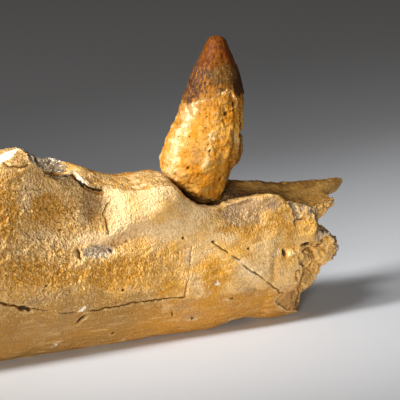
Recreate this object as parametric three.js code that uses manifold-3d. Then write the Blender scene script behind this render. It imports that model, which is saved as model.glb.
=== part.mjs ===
// A broken length of a sea reptile's lower jaw, turned to stone, with one tooth standing in its socket.
// Millimetres, +Z up. X runs forwards along the jaw, and the jaw's outer face looks towards -Y.
// X = 0 is the middle of the tooth's socket and Z = 0 the lower edge as it was before it wore flat, until
// the last lines, which centre the whole on its resting face.

import * as THREE from "three";
import { ImprovedNoise } from "three/addons/math/ImprovedNoise.js";
import { mergeVertices } from "three/addons/utils/BufferGeometryUtils.js";
import Module from "manifold-3d";

const { lerp, smoothstep } = THREE.MathUtils;
const wasm = await Module();
wasm.setup();

// ---------------------------------------------------------------- driving dimensions

const REAR_BREAK = -152; // where the rear end broke off
const FRONT_BREAK = 66; // mean place of the front end's break
const COLUMNS = { hidden: 14, face: 50 }; // mesh columns behind and in front of FACE_START
const FACE_START = -98;
const ROWS = 17; // mesh rows from the lower edge to the tooth row
const LAYERS = 8; // mesh rows across the jaw's thickness
const WORN_FLAT = 1.7; // height of the flat worn on the lower edge, on which the jaw stands
const EDGE_BLUNTNESS = 3.2; // how deep the section is squared off at the lower edge
const EDGE_SHIFT = 1; // how far the lower edge sits inwards of the jaw's middle

const SEAT_GAP = 0.3; // between the tooth's root and the floor of its socket
const SOCKET_GAP = 1.5; // between the root and the socket's rim
const TOOTH_RINGS = 34;
const TOOTH_SIDES = 26;

// ---------------------------------------------------------------- smooth lines through points

// A smooth line through [place, value] points, level past both ends.
function line(...points) {
  const places = points.map(([place]) => place);
  const values = points.map(([, value]) => value);
  const curve = new THREE.CubicInterpolant(places, values, 1);
  return (at) => curve.evaluate(at)[0];
}

// Heights along the jaw, as [X, Z].
const outerRim = line(
  [-152, 86], [-125, 86], [-98, 86.5], [-89, 88.2], [-83, 88.8], [-77, 81.5], [-71, 77], [-63, 74.8],
  [-50, 70.8], [-38, 69.2], [-27, 70.2], [-21, 69], [-15, 63.4], [-7, 59.2], [3, 58.8],
  [10, 60.4], [20, 61.3], [29, 60.8], [36, 58.2], [45, 55], [60, 53], [82, 52],
);
const innerRim = line(
  [-152, 83], [-125, 82], [-95, 82.5], [-84, 81.5], [-72, 79.5], [-62, 78.6], [-54, 75], [-48, 71.6],
  [-40, 69.2], [-25, 68.6], [-15, 67.8], [0, 64.6], [15, 63.4], [27, 61.8], [42, 58.9], [58, 58.3],
  [72, 58], [82, 57.6],
);
// How far the tooth row sinks between its two rims.
const troughDepth = line(
  [-152, 2], [-125, 3], [-95, 0.5], [-84, 0.5], [-70, 2], [-56, -1.5], [-46, -1.6], [-25, -1.4],
  [-20, -2], [-12, 2], [6, 4], [18, 5.5], [32, 6.5], [45, 6], [60, 4], [82, 2],
);
// How high the lower edge is lifted off the ground in front of the worn flat.
const lowerLift = line([-152, 0], [-2, 0], [4, 0.6], [11, 2.2], [18, 2.6], [30, 1], [48, 0.3], [82, 2]);
// Half the thickness, first against the share of the height, then its scale along the jaw.
const halfThickness = line(
  [0, 9], [0.06, 11.5], [0.15, 15.2], [0.3, 18.6], [0.5, 20.2], [0.7, 20.4], [0.85, 20], [1, 19],
);
const thicknessScale = line([-152, 1.12], [-95, 1.07], [-50, 1], [0, 1], [40, 0.95], [82, 0.86]);

// The front break, as [Z, X]: the outer face's edge, the deeper bone behind it, and the inner wall.
const outerBreak = line(
  [0, 43], [5, 39], [8, 35], [11, 33], [14, 34.5], [17, 38], [21, 38.5], [25, 40], [30, 39],
  [35, 41], [38.5, 47], [42, 49], [46, 46], [49, 45], [52, 50], [56, 58], [62, 60],
);
const deepBreak = line(
  [0, 46.5], [4, 45.5], [8, 47], [12, 50], [16, 54], [19, 57], [22, 60], [25, 64], [28, 66.8],
  [31, 67.8], [34.5, 65.5], [38, 60], [41.5, 56.5], [45, 59.5], [48, 63.5], [54, 64], [62, 64],
);
const innerBreak = line(
  [0, 38], [8, 43], [16, 50], [24, 57], [30, 60], [36, 58], [42, 57], [45, 63], [47.5, 69],
  [49.5, 79], [51, 82.5], [57, 82.5], [62, 82],
);

// ---------------------------------------------------------------- swellings and hollows of the two faces

// Each is centred at x, z, reaches across by along and up, is turned by tilt degrees, and stands out by out.
const OUTER_FORMS = [
  { x: -72, z: 60, along: 17, up: 15, tilt: 0, out: -3.6 }, // the long hollow behind the tooth
  { x: -28, z: 62, along: 17, up: 8, tilt: 20, out: 3.4 }, // the swelling that holds the root
  { x: -88, z: 80, along: 9, up: 7, tilt: 0, out: 2.4 }, // the knob between two tooth places
  { x: -42, z: 48.5, along: 12, up: 3.4, tilt: 20, out: -1.3 }, // the furrow under the swelling
  { x: 20, z: 50, along: 15, up: 5, tilt: -8, out: -1.5 }, // the scar under the socket's rim
  { x: -56, z: 46, along: 7, up: 2.6, tilt: 5, out: -1 }, // the pitted scar
  { x: -115, z: 40, along: 30, up: 16, tilt: 0, out: 1.5 },
  { x: 0, z: 22, along: 60, up: 12, tilt: 4, out: 0.9 },
  { x: 33, z: 11, along: 6, up: 4.5, tilt: 30, out: -1.6 }, // the chipped lower corner
  { x: 38, z: 27, along: 3.5, up: 8, tilt: 0, out: -1.8 }, // the crevice at the edge of the break
];
const INNER_FORMS = [
  { x: -60, z: 27, along: 95, up: 6, tilt: 0, out: -4.5 }, // the long nerve groove of the inner side
  { x: -60, z: 62, along: 80, up: 7, tilt: -6, out: 1.6 }, // the shelf that carries the teeth
  { x: 2, z: 55, along: 12, up: 8, tilt: 0, out: 1.5 },
  { x: 60, z: 33, along: 14, up: 9, tilt: 0, out: -2 },
];

function reliefAt(forms, x, z) {
  return forms.reduce((sum, form) => {
    const turn = THREE.MathUtils.degToRad(form.tilt);
    const dx = x - form.x;
    const dz = z - form.z;
    const across = (dx * Math.cos(turn) + dz * Math.sin(turn)) / form.along;
    const upward = (dz * Math.cos(turn) - dx * Math.sin(turn)) / form.up;
    return sum + form.out * Math.exp(-(across ** 2) - upward ** 2);
  }, 0);
}

// ---------------------------------------------------------------- solids and geometries

const perlin = new ImprovedNoise();

// Even bumps of about the given size, from -1 to 1.
function bumps(x, y, z, size) {
  return perlin.noise(x / size + 7.3, y / size + 3.1, z / size + 5.7);
}

function solidOf(geometry) {
  const bare = new THREE.BufferGeometry();
  bare.setAttribute("position", geometry.getAttribute("position"));
  bare.setIndex(geometry.index);
  const merged = mergeVertices(bare, 1e-3);
  return new wasm.Manifold(
    new wasm.Mesh({
      numProp: 3,
      vertProperties: new Float32Array(merged.attributes.position.array),
      triVerts: new Uint32Array(merged.index.array),
    }),
  );
}

function geometryOf(solid) {
  const mesh = solid.getMesh();
  const geometry = new THREE.BufferGeometry();
  geometry.setAttribute("position", new THREE.BufferAttribute(mesh.vertProperties, 3));
  geometry.setIndex(new THREE.BufferAttribute(mesh.triVerts, 1));
  geometry.computeVertexNormals();
  return geometry;
}

// Moves each vertex to where the given function puts it.
function reshape(geometry, place) {
  const position = geometry.getAttribute("position");
  for (let i = 0; i < position.count; i++) {
    const [x, y, z] = place(position.getX(i), position.getY(i), position.getZ(i));
    position.setXYZ(i, x, y, z);
  }
  return geometry;
}

// ---------------------------------------------------------------- the jaw bone

// Places a point of a box from -1 to 1 on each axis: u along the jaw, v across it, w up it.
const SQUARENESS = 0.62; // 0 leaves the section a rectangle, 1 rounds it to an ellipse
const SHARP_RIMS = 0.6; // 0 rounds both rims of the tooth row, 1 leaves them square
const SPARSE_SHARE = (2 * COLUMNS.hidden) / (COLUMNS.hidden + COLUMNS.face) - 1;

function bonePoint(u, v, w) {
  const across = v * Math.sqrt(1 - (SQUARENESS * w * w) / 2);
  const upward = w * Math.sqrt(1 - (SQUARENESS * v * v) / 2);
  const share = (upward + 1) / 2;
  const station =
    u < SPARSE_SHARE
      ? lerp(REAR_BREAK, FACE_START, (u + 1) / (SPARSE_SHARE + 1))
      : lerp(FACE_START, FRONT_BREAK, (u - SPARSE_SHARE) / (1 - SPARSE_SHARE));

  const rims = lerp(outerRim(station), innerRim(station), smoothstep(across, -0.75, 0.75));
  const inTrough = Math.max(0, 1 - (across / 0.72) ** 2);
  const rounding = 2 / (1 + Math.sqrt(1 - (SQUARENESS * v * v) / 2));
  const sharpened = rims * lerp(1, rounding, SHARP_RIMS * smoothstep(share, 0.5, 0.9));
  const height = sharpened - troughDepth(station) * inTrough * smoothstep(share, 0.6, 1);
  const side = Math.sign(across);
  let z = Math.max(WORN_FLAT, share * (height + EDGE_BLUNTNESS) - EDGE_BLUNTNESS);
  z += Math.max(0, lowerLift(station)) * (1 - smoothstep(share, 0, 0.35));
  const inwards = EDGE_SHIFT * (1 - smoothstep(share, 0, 0.3));
  let y = across * halfThickness(share) * thicknessScale(station) + inwards;

  // The face forms fade towards the lower edge and the tooth row, where the section turns over.
  const facing = smoothstep(Math.abs(across), 0.35, 0.85);
  y += side * facing * reliefAt(side < 0 ? OUTER_FORMS : INNER_FORMS, station, z);
  y += facing * side * 0.35 * bumps(station, y, z, 9);

  // Both breaks bend the columns near them, so that the ends follow the fracture.
  const behind = lerp(outerBreak(z), deepBreak(z), smoothstep(y, -17, -7));
  const front = lerp(behind, innerBreak(z), smoothstep(y, 4, 14)) + bumps(station, y, z, 6);
  const rear = REAR_BREAK + 0.12 * (z - 40) + 4 * bumps(1, y, z, 17) + 1.6 * bumps(9, y, z, 6);
  const canal = 6 * Math.exp(-((y / 7) ** 2) - ((z - 34) / 9) ** 2);
  const nearFront = smoothstep(station, 12, FRONT_BREAK);
  const nearRear = 1 - smoothstep(station, REAR_BREAK, REAR_BREAK + 26);
  const x = station + (front - FRONT_BREAK) * nearFront + (rear + canal - REAR_BREAK) * nearRear;
  return [x, y, z];
}

// ---------------------------------------------------------------- the tooth

// Up the tooth, as [Z, radius] and as [Z, how far its middle leans forwards].
const toothRadius = line(
  [53, 5], [55, 7.6], [58, 9.6], [61.8, 11.4], [65.3, 13.2], [69, 15], [72, 16.2], [75.6, 16.8],
  [79, 16.6], [83, 15.9], [86.3, 15.1], [89.6, 13.9], [93.8, 14], [97.1, 13.6], [100.8, 12.5],
  [105.4, 11], [109.1, 9.9], [112, 8.7], [116.6, 6.5], [120.4, 4.9], [123.4, 3.7], [125, 3],
);
const toothLean = line(
  [53, 0.5], [58, -0.4], [61.8, -1.4], [65.3, -1.8], [69, -1.6], [72, -0.9], [79, 1.2], [86, 3.2],
  [89.6, 4.4], [97.1, 6], [105, 7.4], [112, 8], [117, 8.3], [125.7, 8.5],
);
const TOOTH_FOOT = 52.9;
const TOOTH_TIP = 125.7;
const ROOT_LUMPS = 0.03; // how far the root's lumps stand out, as a share of its radius
const CROWN_FOOT = 96; // where the smooth crown ends and the lumpy root begins

// The tooth's outline from its foot to its tip, widened by the gap that a socket leaves round it.
function toothProfile(widen) {
  const points = [new THREE.Vector2(0, TOOTH_FOOT)];
  for (let i = 1; i < TOOTH_RINGS; i++) {
    const rise = i / TOOTH_RINGS;
    const z = lerp(TOOTH_FOOT, TOOTH_TIP, rise + 0.035 * Math.sin(2 * Math.PI * rise));
    points.push(new THREE.Vector2(toothRadius(z) + widen(z), z));
  }
  points.push(new THREE.Vector2(0, TOOTH_TIP));
  return points;
}

function toothGeometry(widen, lumps) {
  const lathe = new THREE.LatheGeometry(toothProfile(widen), TOOTH_SIDES);
  lathe.rotateX(Math.PI / 2);
  return reshape(lathe, (x, y, z) => {
    const onRoot = 1 - smoothstep(z, CROWN_FOOT - 4, CROWN_FOOT + 4);
    const swell = 1 + onRoot * lumps * bumps(x, y, z, 7);
    const lean = smoothstep(z, 90, TOOTH_TIP) * 1.2; // the crown bends a little inwards
    return [x * swell + toothLean(z), y * 0.97 * swell + lean, z];
  });
}

// ---------------------------------------------------------------- sockets

// The hole for the root: close at its floor, loose at its rim.
function toothSocket() {
  const widen = (z) => lerp(0.5, SOCKET_GAP, smoothstep(z, TOOTH_FOOT, 66));
  const hole = toothGeometry(widen, ROOT_LUMPS);
  hole.translate(0, 0, -SEAT_GAP);
  return solidOf(hole);
}

// A worn, half-filled socket that lost its tooth: a lumpy bowl.
function emptySocket({ x, y, z, along, across, deep }) {
  const bowl = new THREE.SphereGeometry(1, 18, 12);
  bowl.rotateX(Math.PI / 2);
  reshape(bowl, (px, py, pz) => {
    const swell = 1 + 0.14 * bumps(px * 20, py * 20, pz * 20, 11);
    return [x + px * along * swell, y + py * across * swell, z + pz * deep * swell];
  });
  return solidOf(bowl);
}

const EMPTY_SOCKETS = [
  { x: -66.5, y: -1, z: 86, along: 12.5, across: 14, deep: 13.5 },
  { x: -123, y: 0, z: 90, along: 12, across: 11, deep: 16 },
];

// ---------------------------------------------------------------- the two pieces

function jawBone() {
  const box = new THREE.BoxGeometry(2, 2, 2, COLUMNS.hidden + COLUMNS.face, LAYERS, ROWS);
  const bone = solidOf(reshape(box, bonePoint));
  return EMPTY_SOCKETS.reduce((rest, socket) => rest.subtract(emptySocket(socket)), bone).subtract(
    toothSocket(),
  );
}

function piece(name, geometry, colour, roughness) {
  const material = new THREE.MeshStandardMaterial({ color: colour, roughness, metalness: 0 });
  const mesh = new THREE.Mesh(geometry, material);
  mesh.name = name;
  return mesh;
}

const fossil = new THREE.Group();
fossil.add(piece("jaw_bone", geometryOf(jawBone()), 0xc29a5c, 0.75));
fossil.add(piece("tooth", geometryOf(solidOf(toothGeometry(() => 0, ROOT_LUMPS))), 0xb9772c, 0.45));
const middle = new THREE.Box3().setFromObject(fossil).getCenter(new THREE.Vector3());
fossil.position.set(-middle.x, -middle.y, -WORN_FLAT);

export default fossil;
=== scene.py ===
# A broken length of a sea reptile's lower jaw, turned to stone, with one tooth standing in its socket.
# It stands on a pale table, and the jaw's outer face looks towards -Y.

import math

import bmesh
import bpy
import numpy as np
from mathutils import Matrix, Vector
from mathutils.bvhtree import BVHTree


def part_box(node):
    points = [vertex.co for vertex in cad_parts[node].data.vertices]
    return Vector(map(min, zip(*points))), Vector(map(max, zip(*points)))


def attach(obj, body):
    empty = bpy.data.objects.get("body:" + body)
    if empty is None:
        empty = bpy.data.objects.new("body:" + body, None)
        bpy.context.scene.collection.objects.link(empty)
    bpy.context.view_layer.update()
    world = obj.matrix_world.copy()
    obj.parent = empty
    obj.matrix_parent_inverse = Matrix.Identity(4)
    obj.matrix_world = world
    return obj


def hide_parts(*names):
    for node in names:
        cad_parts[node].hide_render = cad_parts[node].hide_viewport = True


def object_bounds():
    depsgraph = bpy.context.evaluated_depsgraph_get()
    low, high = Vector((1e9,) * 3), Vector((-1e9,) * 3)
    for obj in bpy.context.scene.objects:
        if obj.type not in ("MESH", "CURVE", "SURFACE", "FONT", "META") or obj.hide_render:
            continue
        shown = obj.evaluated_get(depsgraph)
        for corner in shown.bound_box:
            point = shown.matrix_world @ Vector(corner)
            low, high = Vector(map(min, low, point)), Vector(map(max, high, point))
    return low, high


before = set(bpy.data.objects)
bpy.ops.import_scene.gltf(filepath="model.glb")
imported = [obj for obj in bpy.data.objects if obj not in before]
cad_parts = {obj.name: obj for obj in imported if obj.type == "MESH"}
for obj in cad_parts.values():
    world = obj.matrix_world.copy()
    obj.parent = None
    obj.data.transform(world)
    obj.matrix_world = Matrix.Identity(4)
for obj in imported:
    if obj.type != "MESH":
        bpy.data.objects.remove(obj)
CAD_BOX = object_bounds()

MM = 0.001

# The fossil's own measures are millimetres from the middle of the tooth's socket, with Z = 0 where the lower
# edge was before it wore flat. SOCKET is that point in the frame.
TOOTH_REACH = (17.02, 16.1)  # from the socket's middle to the rear and the outer side of the tooth's box
WORN_FLAT = 1.7
TOOTH_LOW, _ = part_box("tooth")
SOCKET = np.array([TOOTH_LOW.x / MM + TOOTH_REACH[0], TOOTH_LOW.y / MM + TOOTH_REACH[1], -WORN_FLAT])

# How fine the sculpts are: the size of the even mesh they start from, in millimetres, and their triangles.
BONE_VOXEL = 0.45
BONE_FACES = 197000
TOOTH_VOXEL = 0.34
TOOTH_FACES = 90000


# ---- camera

CAMERA_TURN = math.radians(-119)
CAMERA_RISE = math.radians(12)
CAMERA_ANGLE = math.radians(16)
CAMERA_DISTANCE = 0.5977
LOOKED_AT = Vector((SOCKET + (0, 0, 56)) * MM)


def ray(turn, rise):
    """The way out at an angle from +X towards +Y and a rise, in radians."""
    return Vector((math.cos(turn) * math.cos(rise), math.sin(turn) * math.cos(rise), math.sin(rise)))


def add_camera():
    back = ray(CAMERA_TURN, CAMERA_RISE)
    data = bpy.data.cameras.new("camera")
    data.sensor_width = 36
    data.lens = data.sensor_width / 2 / math.tan(CAMERA_ANGLE / 2)
    data.clip_start = 0.01
    data.clip_end = 30
    camera = bpy.data.objects.new("camera", data)
    bpy.context.collection.objects.link(camera)
    camera.location = LOOKED_AT + back * CAMERA_DISTANCE
    camera.rotation_euler = (-back).to_track_quat("-Z", "Y").to_euler()
    bpy.context.scene.camera = camera


add_camera()


# ---- noise and falloffs, on arrays of points

def ease(value, start, end):
    """0 up to the start and 1 from the end on, eased between. The start may be the higher of the two."""
    share = np.clip((value - start) / (end - start), 0, 1)
    return share * share * (3 - 2 * share)


def most(*values):
    return np.maximum.reduce(values)


def hashed(corner, seed):
    """Evenly scattered 32-bit numbers, one for each whole-number corner."""
    h = np.uint32(seed * 2654435761 % 2**32)
    for axis, prime in zip(corner.T, (73856093, 19349663, 83492791)):
        h = h ^ axis.astype(np.uint32) * np.uint32(prime)
    h ^= h >> np.uint32(13)
    h *= np.uint32(1540483477)
    return h ^ h >> np.uint32(15)


def three_draws(h):
    """Three values from 0 to 1023 out of the bits of each number."""
    return [((h >> np.uint32(shift)) & np.uint32(1023)).astype(float) for shift in (0, 10, 20)]


def wander(points, size, seed=0):
    """Smooth noise from about -1 to 1, whose bumps are about as big as size."""
    scaled = points / size
    whole = np.floor(scaled)
    part = scaled - whole
    whole = whole.astype(np.int64)
    curve = part**3 * (part * (part * 6 - 15) + 10)
    weights = (1 - curve, curve)
    total = np.zeros(len(points))
    for a, b, c in np.ndindex(2, 2, 2):
        slopes = [draw / 511.5 - 1 for draw in three_draws(hashed(whole + (a, b, c), seed))]
        value = sum(slope * (part[:, n] - (a, b, c)[n]) for n, slope in enumerate(slopes))
        total += value * (weights[a][:, 0] * weights[b][:, 1]) * weights[c][:, 2]
    return total * 1.5


def rough(points, size, seed=0, layers=3, fall=0.5):
    """Layers of smooth noise, each half the size of the one before."""
    return sum(wander(points, size / 2**n, seed + 7 * n) * fall**n for n in range(layers))


def grains(points, size, seed=0):
    """Distance to the nearest of many scattered grains, in grain sizes: 0 on one, about 1 between them."""
    scaled = points / size
    whole = np.floor(scaled).astype(np.int64)
    nearest = np.full(len(points), 9.0)
    for step in np.ndindex(3, 3, 3):
        cell = whole + step - 1
        away = np.zeros(len(points))
        for axis, draw in enumerate(three_draws(hashed(cell, seed))):
            away += (cell[:, axis] + draw / 1023 - scaled[:, axis]) ** 2
        nearest = np.minimum(nearest, away)
    return np.sqrt(nearest)


def warped(points, amount, size, seed):
    """Points shifted a little to and fro, so that what is drawn on them wanders."""
    shift = [wander(points, size, seed), np.zeros(len(points)), wander(points, size, seed + 1)]
    return points + amount * np.stack(shift, 1)


def patch(points, x, z, long, wide, strength=1, tilt=0, edge=2):
    """A tilted patch on the outer face, fading out over its half length and width. Edge 5 has a steep rim."""
    cos, sin = math.cos(math.radians(tilt)), math.sin(math.radians(tilt))
    dx = points[:, 0] - x
    dz = points[:, 2] - z
    along = (dx * cos + dz * sin) / long
    across = (dz * cos - dx * sin) / wide
    return strength * np.exp(-((along**2 + across**2) ** (edge / 2)))


def patches(points, rows):
    return sum(patch(points, *row) for row in rows)


def lump(points, centre, reach, edge=2):
    """1 at a point in space, fading out over its reach."""
    away = (points - np.array(centre)) / np.array(reach)
    return np.exp(-((away**2).sum(1) ** (edge / 2)))


def legs(points, corners):
    """The legs of a line on the outer face through [x, z] corners: step, each point's share of it, offset."""
    place = points[:, [0, 2]]
    for start, end in zip(corners, corners[1:]):
        step = np.subtract(end, start)
        share = (place - start) @ step / (step @ step)
        yield step, share, (place - start - np.clip(share, 0, 1)[:, None] * step).T


def line_away(points, corners):
    return np.minimum.reduce([np.hypot(*off) for _, _, off in legs(points, corners)])


def inside(points, corners):
    """How far within a closed outline on the outer face each point lies; below 0 outside it."""
    x, _, z = points.T
    loop = [*corners, corners[0]]
    within = np.zeros(len(points), bool)
    for (x1, z1), (x2, z2) in zip(loop, loop[1:]):
        if z1 != z2:
            within ^= ((z1 > z) != (z2 > z)) & (x < (x2 - x1) * (z - z1) / (z2 - z1) + x1)
    away = line_away(points, loop)
    return np.where(within, away, -away)


def stroke(points, corners, width, edge=2):
    """1 along a line on the outer face, fading out over its half width, which swells and narrows."""
    uneven = width * (1 + 0.55 * wander(points, 2.2, 70))
    return np.exp(-((line_away(points, corners) / uneven) ** edge))


# ---- meshes

def added(name, data):
    made = bpy.data.objects.new(name, data)
    bpy.context.collection.objects.link(made)
    return made


def final_mesh(source):
    """The mesh of an object as its modifiers leave it."""
    bpy.context.view_layer.update()
    graph = bpy.context.evaluated_depsgraph_get()
    return bpy.data.meshes.new_from_object(source.evaluated_get(graph), depsgraph=graph)


def even_mesh(node, voxel, easing):
    """Closed, evenly meshed copies of a CAD node, one for each number of easing rounds."""
    source = added("source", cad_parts[node].data.copy())
    merged = bmesh.new()
    merged.from_mesh(source.data)
    bmesh.ops.remove_doubles(merged, verts=merged.verts, dist=1e-6)
    merged.to_mesh(source.data)
    merged.free()
    remesh = source.modifiers.new("even", "REMESH")
    remesh.mode = "VOXEL"
    remesh.voxel_size = voxel * MM
    smooth = source.modifiers.new("ease", "SMOOTH")
    smooth.factor = 0.5
    made = []
    for rounds in easing:
        smooth.iterations = rounds
        made.append(final_mesh(source))
    bpy.data.objects.remove(source)
    return made


def triples(values, name, count):
    """Three numbers for each vertex."""
    flat = np.empty(count * 3, np.float32)
    values.foreach_get(name, flat)
    return flat.reshape(-1, 3).astype(float)


def places(mesh):
    """A mesh's vertices in the fossil's own millimetres."""
    return triples(mesh.vertices, "co", len(mesh.vertices)) / MM - SOCKET


def facing(mesh):
    return triples(mesh.vertex_normals, "vector", len(mesh.vertices))


def move_to(mesh, points):
    mesh.vertices.foreach_set("co", ((points + SOCKET) * MM).astype(np.float32).ravel())
    mesh.update()


def hollowness(mesh, depth=0.16):
    """How far each vertex lies below its neighbours: 0 or less on a rise, 1 in a hollow of this depth."""
    ends = np.empty(len(mesh.edges) * 2, np.int32)
    mesh.edges.foreach_get("vertices", ends)
    a, b = ends.reshape(-1, 2).T
    count = np.bincount(a, minlength=len(mesh.vertices)) + np.bincount(b, minlength=len(mesh.vertices))

    def around(values):
        total = np.bincount(a, values[b], len(count)) + np.bincount(b, values[a], len(count))
        return total / np.maximum(count, 1)

    points = places(mesh)
    eased = points
    for _ in range(3):
        eased = np.stack([around(axis) for axis in eased.T], 1)
    below = ((eased - points) * facing(mesh)).sum(1)
    return (below + around(below)) / 2 / depth


def tooth_gap(points):
    """How close the bone's surface comes to the tooth, in millimetres. Past 6 it only counts as far."""
    reach = 6 * MM
    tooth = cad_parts["tooth"].data
    tree = BVHTree.FromPolygons([v.co for v in tooth.vertices], [p.vertices for p in tooth.polygons])
    gap = np.full(len(points), 9.0)
    close = (np.abs(points[:, 0]) < 24) & (np.abs(points[:, 1]) < 20) & (points[:, 2] > 50)
    for n in np.nonzero(close)[0]:
        gap[n] = (tree.find_nearest((points[n] + SOCKET) * MM, reach)[3] or reach) / MM
    return gap


def thinned(mesh, faces, detail):
    """Fewer triangles, kept densest where detail is highest."""
    source = added("source", mesh)
    group = source.vertex_groups.new(name="detail")
    for level in range(11):
        chosen = np.nonzero(np.round(detail * 10) == level)[0].tolist()
        group.add(chosen, 0.92 * (1 - level / 10), "REPLACE")
    thin = source.modifiers.new("thin", "DECIMATE")
    thin.ratio = faces / (2 * len(mesh.polygons))
    thin.use_collapse_triangulate = True
    thin.vertex_group = "detail"
    thin.vertex_group_factor = 1.0
    made = final_mesh(source)
    bpy.data.objects.remove(source)
    return made


def add_piece(name, mesh, node, finish, marks):
    """Puts a finished mesh in place of a CAD node, with its marks as named values on its vertices."""
    for label, values in marks.items():
        kept = mesh.attributes.new(label, "FLOAT", "POINT")
        kept.data.foreach_set("value", values.astype(np.float32))
    mesh.shade_smooth()
    mesh.materials.clear()
    mesh.materials.append(finish)
    piece = added(name, mesh)
    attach(piece, "root")
    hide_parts(node)


# ---- the jaw bone's features, in its own millimetres

# The edge under which the rear hollow runs out.
HOLLOW_EDGE = [(-62.9, 74.8), (-60.5, 72.6), (-59.1, 70.5), (-57, 69.2), (-54.7, 68.3), (-51.9, 67.6)]

# Cracks on the outer face: corners [x, z], half width, depth, how broken up they are, how dark.
CRACKS = [
    ([(-122, 35), (-108, 31.6), (-98.3, 30.3), (-95.8, 29.0), (-92.4, 28.1), (-90.2, 26.8)],
     0.6, 1.4, 0.0, 1.0),
    ([(-90, 26.6), (-85.5, 26.1), (-79.2, 23.8), (-72.8, 22.1), (-66.4, 21.3), (-59.9, 20.8)],
     0.5, 0.3, 0.5, 0.5),
    ([
        (-59.9, 20.8), (-53.4, 21.1), (-47.8, 21.1), (-42.6, 21.7), (-35.9, 21.6), (-29.2, 21.5),
        (-17.8, 20.9),
    ], 0.45, 0.5, 0.05, 0.65),
    ([(-17.9, 21.1), (-17.4, 25.9), (-16.1, 30), (-15.8, 35.8), (-15.1, 40.6), (-14.2, 44.6)],
     0.5, 0.35, 0.5, 0.4),
    ([
        (-4.9, 42.4), (0, 38.7), (3.4, 36.3), (7.5, 33.7), (11.1, 29.6), (15.4, 26.8), (20.6, 23.2),
        (23, 21.2), (29.6, 16),
    ], 0.45, 0.5, 0.4, 0.65),
    (HOLLOW_EDGE, 0.9, 2.2, -0.5, 1.0),
    ([(-49.5, 62.8), (-51.2, 61.1), (-52.1, 58.9), (-51.4, 56.4), (-51.5, 53.4), (-51.2, 51)],
     0.5, 0.6, 0.4, 0.65),
    ([(-93.7, 83), (-92, 81.5), (-90.5, 81.3), (-88.2, 81.1), (-86.3, 81.4), (-84.6, 82)],
     0.45, 0.5, 0.35, 0.6),
    ([(-64.9, 46.6), (-64.4, 44.8), (-64.1, 43.2)], 0.6, 1.1, -0.3, 0.9),
    ([(-93.6, 73.1), (-90.3, 72.7), (-85.6, 72.1), (-83.5, 72.2), (-78.6, 71.4)], 0.5, 0.4, 0.5, 0.4),
]

# The rear hollow as it shows over its near rim, with the edges of its chipped front end.
HOLLOW = [
    (-86, 92), (-85, 87), (-84.3, 85.6), (-84.8, 84.5), (-83.6, 82.6), (-80.4, 80.6), (-78.5, 78.8),
    (-77.1, 77), (-72.8, 75.4), (-67.7, 73.8), (-63.7, 73.5), (-60.8, 74.6), (-59.9, 78), (-59.5, 92),
]
HOLLOW_SHADE = [(-76.3, 77.6), (-73.8, 76.3), (-69.6, 74.9)]
HOLLOW_CHIP = [(-60.1, 77), (-60.1, 74.6), (-59.4, 72.3), (-58, 71)]
FAR_CHIP = [(-64, 77.6), (-61.4, 77.4), (-59.4, 76.8)]

# The flat broken slope on top of the knob: a place on it and the way it faces. A steeper one lies in front.
FACET = ((-95.1, -19, 82.5), (-0.21, -0.381, 0.90))
STEEP_FACET = ((-84.4, -14, 86.6), (0.5, 0.05, 0.86))

# Outlines in the front break: where skin has flaked off, and the plate and knob that stand in it.
LOWER_CHIP = [
    (29, 10.6), (28.3, 12.6), (29.5, 14), (30.2, 15.8), (32.6, 15.9), (35.6, 15.4), (42.8, 13.9), (46, 13),
    (46, 4), (41.4, 4.4), (38.3, 5.1), (36, 5.6), (33.9, 7.4), (31.5, 8.3),
]
PLATE = [
    (40.5, 31.7), (43.5, 32.3), (48.7, 31.7), (50.4, 28.5), (50.1, 24.9), (48.8, 23.2), (44, 24.2),
    (41.2, 26.6), (39.6, 30),
]
KNOB = [
    (50, 33), (47.3, 36), (47.6, 38.6), (50.3, 39.8), (58.5, 37.8), (62.7, 32.6), (63.3, 28), (60.6, 25.8),
    (57, 23.3), (53.6, 24.1), (51.3, 26), (51.3, 31),
]
PINK_PATCH = [(47.3, 37), (50, 39.4), (55, 38.9), (58.3, 37.2), (56.8, 35.3), (51.3, 35)]
CRUMBLED = [
    (32, 58), (46, 55), (51.5, 50), (53, 43), (48.6, 41.2), (46, 43.5), (41, 45.2), (37.4, 45.6),
    (34.4, 49), (31.8, 53),
]
# Outlines on the outer face.
SPECKLED = [(23.4, 34.4), (26, 35.2), (28.4, 35.2), (28.2, 32.8), (24.4, 32.5)]
PITTED_SCAR = [
    (-62.7, 46), (-58.6, 47.4), (-52.6, 46.9), (-49.2, 45.3), (-49, 42.9), (-53.1, 42.2), (-58.9, 42.8),
    (-62.5, 43.7),
]

# Lines in the front break. The crevices are corners, half width and depth.
CREVICES = [
    ([(48.7, 31.9), (46, 32.5), (43.5, 32.4), (40.3, 32.1), (39.2, 30.1), (40.1, 27.8), (43, 24.8)],
     1.0, 2.6),
    ([(43.3, 24.6), (44, 22.6), (43.6, 20.7), (42.7, 18.2), (43.4, 15.5), (42.6, 14.2)], 1.5, 2.8),
    ([(39.6, 24.1), (38, 24.2), (37.3, 22.3), (38.4, 20.1)], 0.8, 1.4),
    ([(49.9, 29.6), (50.4, 27), (50.1, 24.7), (48.8, 23.2)], 0.9, 2.2),
    ([(51.6, 32.2), (53.6, 33.2), (55.2, 34.6)], 0.9, 1.9),
    ([(37, 44.9), (38.2, 46.1), (40.2, 46.6), (42.2, 46.4)], 0.8, 1.7),
]
GROOVE = [(34, 56), (35.6, 54.4), (37, 52.6), (37.2, 50.4), (38.3, 48.6), (39.6, 46.8)]
CREST = [(44, 53.5), (47.5, 50), (51.6, 46), (52, 43), (50, 41)]
KNOB_RIM = [(55.5, 38.8), (58, 38), (60, 35.6), (62.6, 32.6), (62.8, 29), (60.6, 26.4)]
RIB = [(34.3, 33.6), (38, 33), (42, 33.1), (46.4, 33.9)]

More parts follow.
